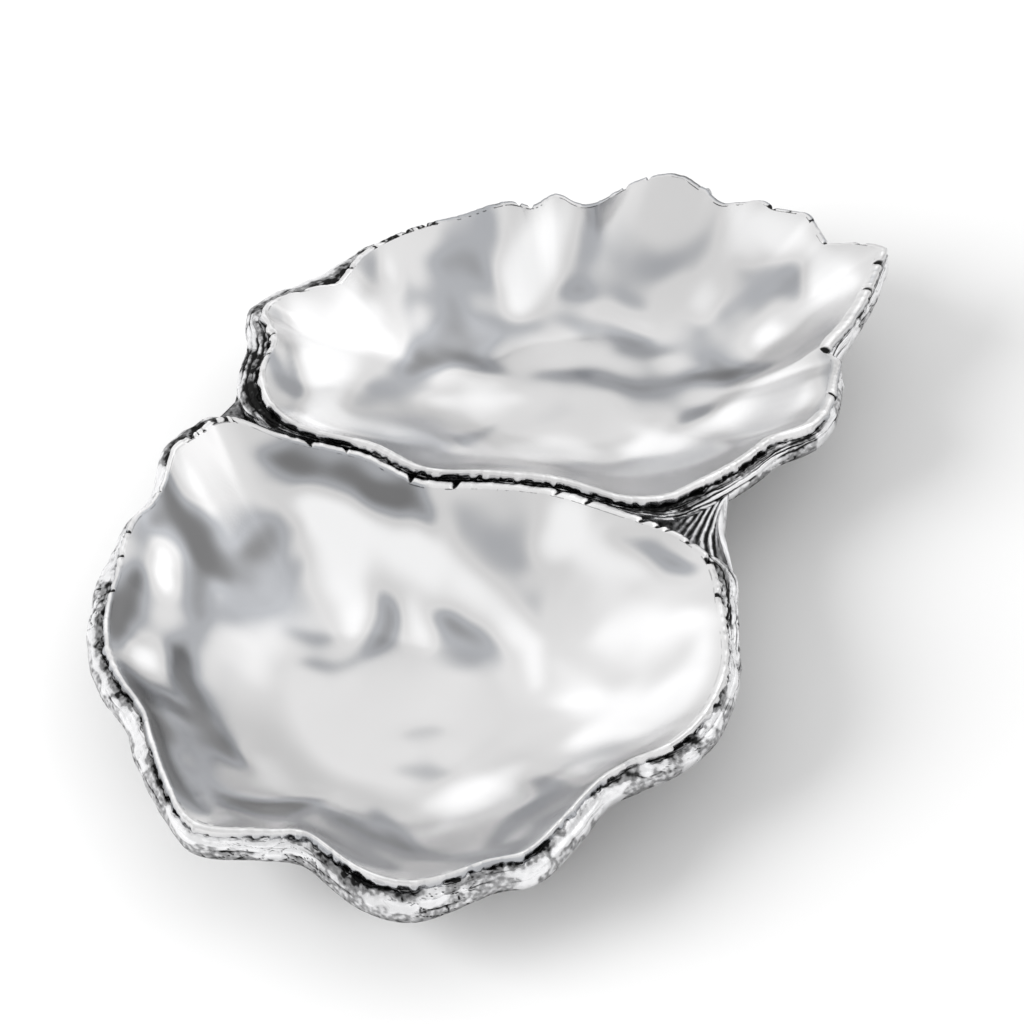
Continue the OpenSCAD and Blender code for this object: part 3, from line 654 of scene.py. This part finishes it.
for half, seed in (("front", 31.0), ("rear", 47.0)):
    centre, lip_reach, lip_height, layer_reach = rims[half]
    angles, ring = rings_round(centre, SHELL_TURNS)
    height, layer = around(lip_height, SHELL_TURNS), around(layer_reach, SHELL_TURNS)
    calm = calmed(lip_reach, SHELL_TURNS)
    lip_out = around(lip_reach, SHELL_TURNS) + by_direction(LEANING[half], angles)
    reach = np.minimum(lip_out + by_direction(SPREAD[half], angles),
                       np.maximum(layer - 2.2, lip_out))

    # Layered edge, from inside the lip over its top and down to the wall
    edge = layer - reach
    lap = np.clip(edge / 2.5, 0, 1)
    rim_line = ring(reach, height)
    jag = (grain(rim_line, 5.0, seed) + 0.7 * grain(rim_line, 1.8, seed)
           + 0.4 * grain(rim_line, 0.7, seed) + 0.45 * grain(rim_line, 1.3, seed, "CELLNOISE"))
    gape = (by_direction(GAPE[half], angles) + 0.5 * grain(rim_line, 7.0, seed + 1)
            + 0.4 * grain(rim_line, 2.5, seed + 2))
    gape = np.clip(gape, 0, 1)
    lift = by_direction(RAISED[half], angles)
    keys = [
        (reach - 3.0, height - LAYER_TOP - 3.6),
        (reach - 1.3, height - LAYER_TOP - 0.2),
        (reach - 0.5 + 0.3 * jag * lap, height - 1.5 - 1.2 * gape),
        (reach + 0.15 + 0.5 * jag * lap, height - 1.3 - 1.0 * gape),
        (reach + 0.28 * edge + 0.3 * jag * lap, height - 1.7 - 0.4 * gape + 0.3 * lift),
        (reach + 0.52 * edge - 0.1, height - 2.45 + 0.7 * lift),
        (reach + 0.78 * edge - 0.2, height - LAYER_TOP + 0.1 * lap + lift),
        (layer - 0.2, height - LAYER_TOP - 0.8 + 0.8 * lift),
        (layer, height - LAYER_TOP - 1.9),
        (layer - 0.1, height - LAYER_TOP - 3.2),
        (layer - 0.7, height - LAYER_TOP - 4.4),
        (layer - 2.2, height - LAYER_TOP - 5.4)]
    band = between([ring(*key) for key in keys], BAND_RINGS)
    level = np.linspace(0, 1, BAND_RINGS)[:, None]
    shown = np.sin(np.pi * np.clip((level - 0.15) / 0.85, 0, 1)) ** 0.7
    lumps = (0.6 * grain(band, 9.0, seed) + 0.3 * grain(band, 3.5, seed + 5)
             + 0.12 * grain(band, 1.3, seed + 9))

    # A thin jagged crack beside the lip, and cracks between the layers where they part
    line = 0.25 + 0.05 * jag
    broken = np.clip(1.2 * gape + 1.3 * grain(rim_line, 4.0, seed + 3), 0, 1)
    crack = np.clip(1.3 - np.abs(level - line) / (0.012 + 0.028 * gape), 0, 1) * broken
    crack = crack * np.clip(0.85 + 0.7 * grain(band, 0.9, seed + 17), 0, 1)
    split = 0 * band[..., 0]
    apart = by_direction(PARTED[half], angles)
    for where, shift, share in SEAMS:
        seam = (where + 0.07 * grain(rim_line, 18.0, seed + shift)
                + 0.03 * grain(rim_line, 2.5, seed + shift))
        opened = np.clip(grain(rim_line, 6.0, seed + shift + 5) + apart - 0.4, 0, 1)
        thick = 0.014 + 0.02 * opened
        parted = np.clip(share * apart + 1.2 * grain(rim_line, 11.0, seed + shift + 9), 0, 1)
        split = np.maximum(split, np.clip(1.3 - np.abs(level - seam) / thick, 0, 1) * parted)

    # Flakes lie along the edge, each a little higher or lower than the next
    flat = np.stack([angles / 360 * 350 + 2.0 * grain(band, 5.0, seed + 18),
                     level * 34 + 3.0 * grain(band, 4.0, seed + 19), 0 * band[..., 0]], axis=-1)
    flaky = np.clip(0.35 + 1.5 * grain(band, 12.0, seed + 4), 0, 1)
    cross = 0.5 + 0.5 * grain(flat, 5.5, seed + 3, "VORONOI_CRACKLE")
    cross = np.clip(1 - cross / 0.3, 0, 1) * flaky
    chips = grain(flat, 5.5, seed + 3, "VORONOI_F2F1")
    upward = np.clip(1 - (level - 0.45) / 0.25, 0, 1)
    turn = np.radians(angles)
    outward = np.stack([np.cos(turn), np.sin(turn), 0 * turn], axis=-1)[None]
    sunk = lumps + 0.35 * flaky * np.clip(chips, -1, 1) - 0.4 * cross - 0.6 * split
    sunk = shown * sunk - 0.5 * crack
    band = band + outward * (sunk * (1 - 0.7 * upward))[..., None]
    band[..., 2] += sunk * (0.3 + 0.7 * upward)

    # Wall: its inside follows the bowl, its outside runs in to the flat base
    bond = np.array([0, 0, BOND])
    inner = np.array([wall_ring(half, ring, t, calm, lip_out, height, BOWL_WALL) - bond
                      for t in INNER_SHARES])
    outer = np.array([wall_ring(half, ring, t, calm, lip_out, height, BOWL_WALL + SHELL_WALL)
                      - bond for t in OUTER_SHARES])
    outer[..., 2] = np.maximum(outer[..., 2], BASE_Z)
    places = np.concatenate([inner, band, outer])

    # Patina in the cracks, in pits beside the lip and in mottled patches down the edge; painted
    # shade thickens the patches on the lower face, most at the front, and darkens the lowest rings
    hidden = np.clip((line - 0.02 - level) / 0.03, 0, 1)
    strip = (np.clip(1.5 - (level - line) / (0.05 + 0.18 * gape), 0, 1)
             * np.clip(0.1 + 1.2 * gape, 0, 1))
    pits = strip * (0.42 + 0.7 * grain(band, 1.6, seed + 14) + 0.5 * grain(band, 0.7, seed + 15))
    lower = np.clip((level - 0.55) / 0.12, 0, 1)
    # Painted shade: more patches on the lower face, most towards the front, and darker lowest rings
    shade = 0.4 + 0.2 * np.cos(np.radians(angles - 265)) if half == "front" else 0.25
    patch = grain(band, 7.0, seed + 8) + 0.5 * grain(band, 2.5, seed + 13) - 0.1 + shade * lower
    patch = np.clip(patch / 0.16, 0, 1)
    mottle_and_painted_shade = (patch * (0.4 + 0.25 * grain(band, 0.8, seed + 10))
              + 0.3 * np.clip((level - 0.72) / 0.2, 0, 1))
    worn = np.maximum.reduce([hidden, crack, split, cross, pits]) + np.clip(mottle_and_painted_shade, 0, 0.7)
    dusk = by_direction(DARK[half], angles)
    darkest = 0.58 + 0.5 * np.clip(dusk - 0.9, 0, 0.5) + 0.3 * grain(band, 1.1, seed + 16)
    dusk = (dusk * np.clip((0.48 + 0.1 * dusk - level) / 0.15, 0, 1)
            * np.clip(0.8 + 1.5 * grain(band, 5.0, seed + 20), 0, 1.4))
    worn = np.maximum(worn, np.minimum(worn + 0.7 * dusk, darkest))
    below = 0.38 + 0.5 * grain(outer, 9.0, seed + 11) + 0.4 * grain(outer, 3.0, seed + 12)
    patina = np.clip(np.concatenate([np.ones(inner.shape[:2]), worn, below]), 0, 1)

    shell = wrapped_grid(f"{half}_cast_shell", places, patina=patina)
    shell.data.materials.append(antiqued)
    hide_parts(f"{half}_shell")
    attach(shell, "root")

# The web is the cast metal left between the two shells: thin along the hinge line, wider in the
# notch at each end, where growth ridges cross it. It is blackened and barely rubbed.
WEB_STEPS, WEB_ACROSS = 300, 40
WEB_FRONT, WEB_REAR, WEB_END, WEB_REACH = (141, 36), (208, 325), 0.25, 27
blackened, blackened_patina, blackened_colour = metal("blackened_aluminium", 0.3, 0.6, 0.8)
ramp(blackened.node_tree, blackened_patina, blackened_colour,
     (0, 0.8, 0.8, 0.81), (0.25, 0.6, 0.6, 0.61), (0.5, 0.2, 0.2, 0.205))


def layer_point(half, angle, inset, drop):
    """Points on a shell's outer layer, in directions that need not be whole steps."""
    centre, *curves = rims[half]
    fine = np.linspace(0, 360, 721)
    reach, height, layer = (np.interp(np.asarray(angle) % 360, fine,
                                      np.append(around(v, 720), v[0])) for v in curves)
    r = layer - inset
    turn = np.radians(angle)
    return np.stack([centre[0] + r * np.cos(turn), centre[1] + r * np.sin(turn),
                     height - drop - 0.75 * np.clip(reach - r, 0, None)], axis=-1)


along = np.linspace(0, 1, WEB_STEPS)
on_right = (along > 0.5)[:, None]
front_turn = WEB_FRONT[0] + (WEB_FRONT[1] - WEB_FRONT[0]) * along
rear_turn = WEB_REAR[0] + (WEB_REAR[1] - WEB_REAR[0]) * along
ends = np.clip(np.minimum(along, 1 - along) / WEB_END, 0, 1)
front_top = layer_point("front", front_turn, 0.6, LAYER_TOP + 1.9)
rear_top = layer_point("rear", rear_turn, 0.6, LAYER_TOP + 1.9)
front_low = layer_point("front", front_turn, 2.4, LAYER_TOP + LAYER_D)
rear_low = layer_point("rear", rear_turn, 2.4, LAYER_TOP + LAYER_D)
across = np.linspace(0, 1, WEB_ACROSS)
top = front_top[:, None] * (1 - across[:, None]) + rear_top[:, None] * across[:, None]
arch = 4 * across * (1 - across)
inwards = np.sign(0.5 - along) * (1 - ends) ** 3
top[..., 0] += 3.0 * inwards[:, None] * arch
# Growth ridges: the strands swing round from one shell to the other, and a roll ends the web
depth = WEB_REACH * ends[:, None] + 1.2 * grain(top, 7.0, 79.0)
sweep = np.where(on_right, 6.0, 2.0) * across ** 2
strand = np.cos(2 * np.pi * np.clip(depth + sweep - 3.6, 0, None) / 2.1)
ridged = np.clip(1.7 - depth / 7.5, 0, 1) * np.where(on_right, 1.0, 0.5)
rolled = np.clip(1.5 - depth / 2.4, 0, 1) * np.where(on_right, 1.0, 0.35)
top[..., 2] += arch ** 0.6 * (0.35 * strand * ridged + 1.4 * rolled - 2.2 * (1 - ridged))
top[..., 2] += (1 - 0.6 * rolled) * (0.3 * grain(top, 2.5, 71.0) + 0.25 * grain(top, 1.0, 75.0))
low = rear_low[:, None] * (1 - across[::4, None]) + front_low[:, None] * across[::4, None]
places = np.concatenate([top, low], axis=1)
worn = (np.where(on_right, 0.4, 0.85) - 0.55 * strand * ridged - 0.6 * rolled
        + 0.3 * (1 - ridged))
patina = np.concatenate([np.clip(worn, 0, 1), np.ones((WEB_STEPS, low.shape[1]))], axis=1)
caps = [places[k].mean(axis=0) * np.ones_like(places[k]) for k in (0, -1)]
places = np.concatenate([[caps[0]], places, [caps[1]]])
patina = np.concatenate([patina[:1], patina, patina[-1:]])
web = wrapped_grid("hinge_web", places, patina=patina)
web.data.materials.append(blackened)
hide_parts("bridge_web")
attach(web, "root")

# The feet are clear silicone bumpers, moulded as low domes with a flat face that rests on the
# table, and stuck to the shells' flat bases.
silicone = bpy.data.materials.new("silicone")
silicone.use_nodes = True
rubber = silicone.node_tree
skin = rubber.nodes["Principled BSDF"]
skin.inputs["Roughness"].default_value = 0.35
place = rubber.nodes.new("ShaderNodeTexCoord")
cloud = rubber.nodes.new("ShaderNodeTexNoise")
cloud.inputs["Scale"].default_value = 220
cloud.inputs["Detail"].default_value = 3
link(rubber, place.outputs["Object"], cloud.inputs["Vector"])
ramp(rubber, cloud.outputs["Fac"], skin.inputs["Base Color"],
     (0.3, 0.62, 0.64, 0.65), (0.5, 0.7, 0.71, 0.72), (0.7, 0.76, 0.77, 0.77))
dimples = rubber.nodes.new("ShaderNodeBump")
dimples.inputs["Strength"].default_value = 0.1
dimples.inputs["Distance"].default_value = 0.0001
link(rubber, cloud.outputs["Fac"], dimples.inputs["Height"])
link(rubber, dimples.outputs["Normal"], skin.inputs["Normal"])
for name in ("front_left", "front_right", "rear_left", "rear_right"):
    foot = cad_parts[f"{name}_foot"]
    foot.data.materials.clear()
    foot.data.materials.append(silicone)

# The studio is a white table top with one broad soft lamp at the front left of the dish, which
# the metal doesn't mirror, and a pale room, brighter in front than behind and in two soft
# patches at the back, which it does.
TABLE_HALF = 4
# Tones of the room: how far towards its front, from -1 behind to 1, and brightness
ROOM_FRONT = (-0.232, -0.766, 0.6)
ROOM_TONES = ((-0.6, 0.86), (-0.38, 0.74), (-0.26, 0.77), (0.0, 1.0), (0.14, 1.12), (0.45, 1.05))
ROOM_BEHIND, ROOM_AHEAD = 0.6, 0.9
# Bright patches: direction, cosines where each starts and is full, and how much it adds
PATCHES = (((0.47, 0.62, 0.63), 0.82, 0.97, 0.4), ((-0.5, 0.85, 0.15), 0.85, 0.97, 0.25))
LAMP_FROM, LAMP_FAR, LAMP_WIDE, LAMP_WATTS = Vector((-0.74, -0.45, 0.5)), 2.5, 1.6, 70

floor_mesh = bpy.data.meshes.new("table_top")
bm = bmesh.new()
bmesh.ops.create_grid(bm, x_segments=1, y_segments=1, size=TABLE_HALF)
bm.to_mesh(floor_mesh)
bm.free()
floor = bpy.data.objects.new("table_top", floor_mesh)
bpy.context.scene.collection.objects.link(floor)
white = bpy.data.materials.new("white_table")
white.use_nodes = True
matt = white.node_tree.nodes["Principled BSDF"]
matt.inputs["Base Color"].default_value = (0.71, 0.71, 0.71, 1)
matt.inputs["Roughness"].default_value = 0.9
matt.inputs["Specular IOR Level"].default_value = 0.0
floor_mesh.materials.append(white)

world = bpy.data.worlds.new("studio")
bpy.context.scene.world = world
world.use_nodes = True
sky = world.node_tree
background = sky.nodes["Background"]
where = sky.nodes.new("ShaderNodeTexCoord")


def how_far_towards(direction):
    """How far each part of the room lies towards a direction."""
    towards = sky.nodes.new("ShaderNodeVectorMath")
    towards.operation = "DOT_PRODUCT"
    towards.inputs[1].default_value = direction
    link(sky, where.outputs["Generated"], towards.inputs[0])
    return towards.outputs["Value"]


from_back = sky.nodes.new("ShaderNodeMapRange")
from_back.inputs["From Min"].default_value = -1
link(sky, how_far_towards(ROOM_FRONT), from_back.inputs["Value"])
room = sky.nodes.new("ShaderNodeValToRGB")
room.color_ramp.interpolation = "EASE"
for spot, tone in ROOM_TONES:
    stop = room.color_ramp.elements.new(0.5 + spot / 2)
    stop.color = (tone, tone, tone, 1)
room.color_ramp.elements[0].color = (ROOM_BEHIND, ROOM_BEHIND, ROOM_BEHIND, 1)
room.color_ramp.elements[-1].color = (ROOM_AHEAD, ROOM_AHEAD, ROOM_AHEAD, 1)
link(sky, from_back.outputs["Result"], room.inputs["Fac"])
link(sky, room.outputs["Color"], background.inputs["Color"])
glow = None
for direction, start, full, extra in PATCHES:
    soft_box = sky.nodes.new("ShaderNodeMapRange")
    soft_box.interpolation_type = "SMOOTHSTEP"
    soft_box.inputs["From Min"].default_value = start
    soft_box.inputs["From Max"].default_value = full
    soft_box.inputs["To Max"].default_value = extra
    link(sky, how_far_towards(direction), soft_box.inputs["Value"])
    both = sky.nodes.new("ShaderNodeMath")
    both.inputs[1].default_value = 1.0
    link(sky, soft_box.outputs["Result"], both.inputs[0])
    if glow:
        link(sky, glow, both.inputs[1])
    glow = both.outputs["Value"]
link(sky, glow, background.inputs["Strength"])

key_data = bpy.data.lights.new("key_light", "AREA")
key_data.shape = "DISK"
key_data.size = LAMP_WIDE
key_data.energy = LAMP_WATTS
key = bpy.data.objects.new("key_light", key_data)
key_from = LAMP_FROM.normalized()
key.location = key_from * LAMP_FAR
key.rotation_euler = key_from.to_track_quat("Z", "Y").to_euler()
key.visible_glossy = False
bpy.context.scene.collection.objects.link(key)

bpy.context.scene.view_settings.view_transform = "Standard"
